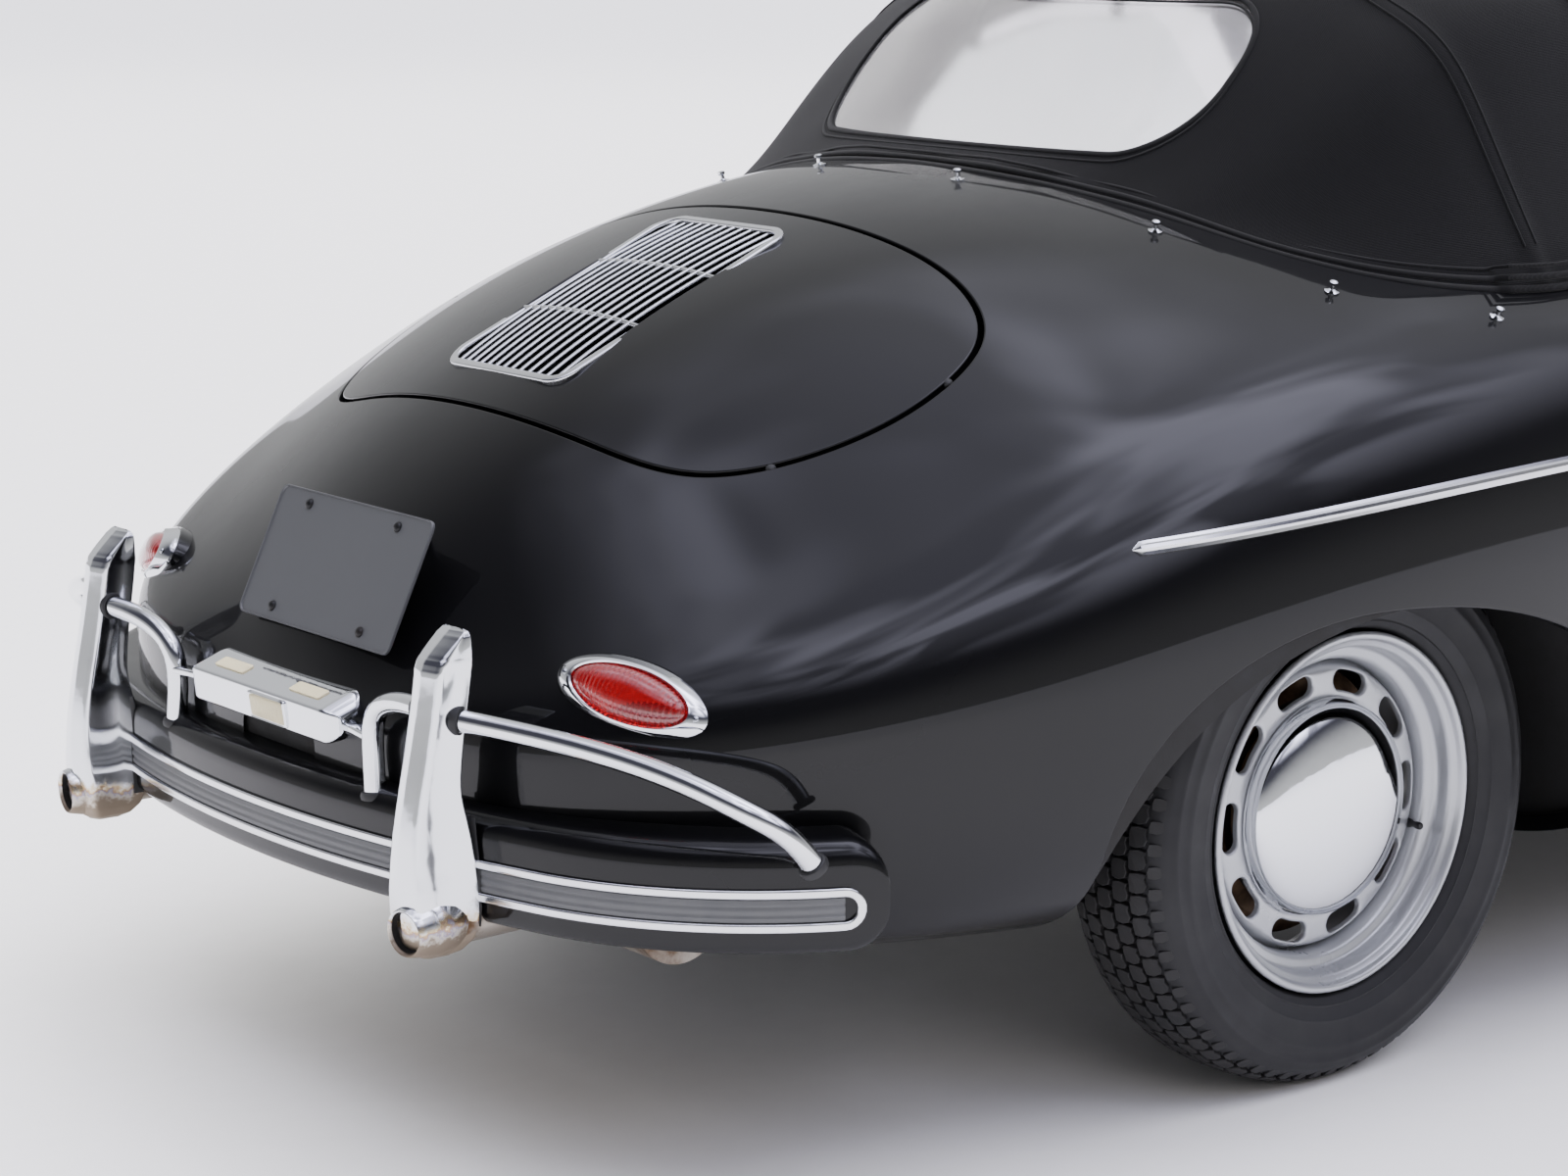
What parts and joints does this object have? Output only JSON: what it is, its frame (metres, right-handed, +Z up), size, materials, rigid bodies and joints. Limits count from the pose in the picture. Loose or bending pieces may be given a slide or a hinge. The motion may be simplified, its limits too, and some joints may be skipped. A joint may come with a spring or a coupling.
{
  "type": "two-seat open sports car",
  "caption": "Rounded rear-engined two-seat sports car with raised fabric top, hinged lids and doors, steered front wheels and slotted disc wheels.",
  "frame": {"origin": "on the ground, below the middle of the car's length and width", "axes": "+X forward, +Y to the left, +Z up"},
  "size_m": [3.9498, 1.7148, 1.2953],
  "materials": {
    "paint": "gloss",
    "chrome": "polished",
    "glass": "clear",
    "canvas": "woven",
    "bow_wood": "varnished",
    "vinyl": "clear",
    "amber": "ribbed",
    "red_lens": "ribbed",
    "plate": "satin",
    "leather": "grained",
    "black_metal": "satin",
    "wheel_rim": "polished",
    "cast": "cast",
    "steel": "weathered",
    "aluminium": "polished",
    "wheel_silver": "gloss",
    "tyre": "matte"
  },
  "bodies": {
    "chassis": {"front_body": "paint", "floor_tub": "paint", "rear_body": "paint", "dashboard": "paint", "windscreen_frame": "chrome", "windscreen_glass": "glass", "soft_top": "canvas", "top_bows": "bow_wood", "rear_window": "vinyl", "front_bumper": "paint", "rear_bumper": "paint", "front_overriders": "chrome", "rear_overriders": "chrome", "rear_bumper_bows": "chrome", "headlight_rims": "chrome", "headlight_lenses": "glass", "indicators": "amber", "tail_lamp_bases": "chrome", "tail_lamp_lenses": "red_lens", "plate_lamp": "chrome", "licence_plate": "plate", "seat_left": "leather", "seat_right": "leather", "rear_bench": "leather", "steering_column": "black_metal", "engine_block": "cast", "exhaust": "steel", "tailpipes": "steel", "rear_axle": "black_metal", "front_axle": "black_metal"},
    "door_left": {"door_left": "paint", "door_glass_left": "glass"},
    "door_right": {"door_right": "paint", "door_glass_right": "glass"},
    "front_lid": {"front_lid": "paint"},
    "engine_lid": {"engine_lid": "paint", "engine_grille": "aluminium"},
    "steering_wheel": {"steering_wheel": "wheel_rim"},
    "knuckle_left": {"knuckle_left": "black_metal"},
    "knuckle_right": {"knuckle_right": "black_metal"},
    "wheel_front_left": {"wheel_front_left": "wheel_silver", "tyre_front_left": "tyre"},
    "wheel_front_right": {"wheel_front_right": "wheel_silver", "tyre_front_right": "tyre"},
    "wheel_rear_left": {"wheel_rear_left": "wheel_silver", "tyre_rear_left": "tyre"},
    "wheel_rear_right": {"wheel_rear_right": "wheel_silver", "tyre_rear_right": "tyre"}
  },
  "joints": [
    {"name": "steer_left", "type": "hinge", "parent": "chassis", "child": "knuckle_left", "pos_m": [1.195, 0.6, 0.315], "axis": [0, 0, 1], "range_deg": [-28, 28]},
    {"name": "steer_right", "type": "hinge", "parent": "chassis", "child": "knuckle_right", "pos_m": [1.195, -0.6, 0.315], "axis": [0, 0, 1], "range_deg": [-28, 28]},
    {"name": "steering_column_turn", "type": "hinge", "parent": "chassis", "child": "steering_wheel", "pos_m": [0.17, 0.365, 0.795], "axis": [-0.9135, 0, 0.4067], "range_deg": [-448, 448]},
    {"name": "front_lid_hinge", "type": "hinge", "parent": "chassis", "child": "front_lid", "pos_m": [0.688, 0, 0.976], "axis": [0, -1, 0], "range_deg": [0, 60]},
    {"name": "engine_lid_hinge", "type": "hinge", "parent": "chassis", "child": "engine_lid", "pos_m": [-1.178, 0, 0.962], "axis": [0, 1, 0], "range_deg": [0, 55]},
    {"name": "door_left_hinge", "type": "hinge", "parent": "chassis", "child": "door_left", "pos_m": [0.511, 0.862, 0.6], "axis": [0, 0, -1], "range_deg": [0, 65]},
    {"name": "door_right_hinge", "type": "hinge", "parent": "chassis", "child": "door_right", "pos_m": [0.511, -0.862, 0.6], "axis": [0, 0, 1], "range_deg": [0, 65]},
    {"name": "wheel_front_left_spin", "type": "hinge", "parent": "knuckle_left", "child": "wheel_front_left", "pos_m": [1.195, 0.653, 0.315], "axis": [0, 1, 0], "continuous": true},
    {"name": "wheel_front_right_spin", "type": "hinge", "parent": "knuckle_right", "child": "wheel_front_right", "pos_m": [1.195, -0.653, 0.315], "axis": [0, 1, 0], "continuous": true},
    {"name": "wheel_rear_left_spin", "type": "hinge", "parent": "chassis", "child": "wheel_rear_left", "pos_m": [-0.905, 0.636, 0.315], "axis": [0, 1, 0], "continuous": true},
    {"name": "wheel_rear_right_spin", "type": "hinge", "parent": "chassis", "child": "wheel_rear_right", "pos_m": [-0.905, -0.636, 0.315], "axis": [0, 1, 0], "continuous": true}
  ],
  "couplings": [
    {"joint": "steer_right", "follows": "steer_left", "ratio": 1},
    {"joint": "steering_column_turn", "follows": "steer_left", "ratio": 16}
  ]
}
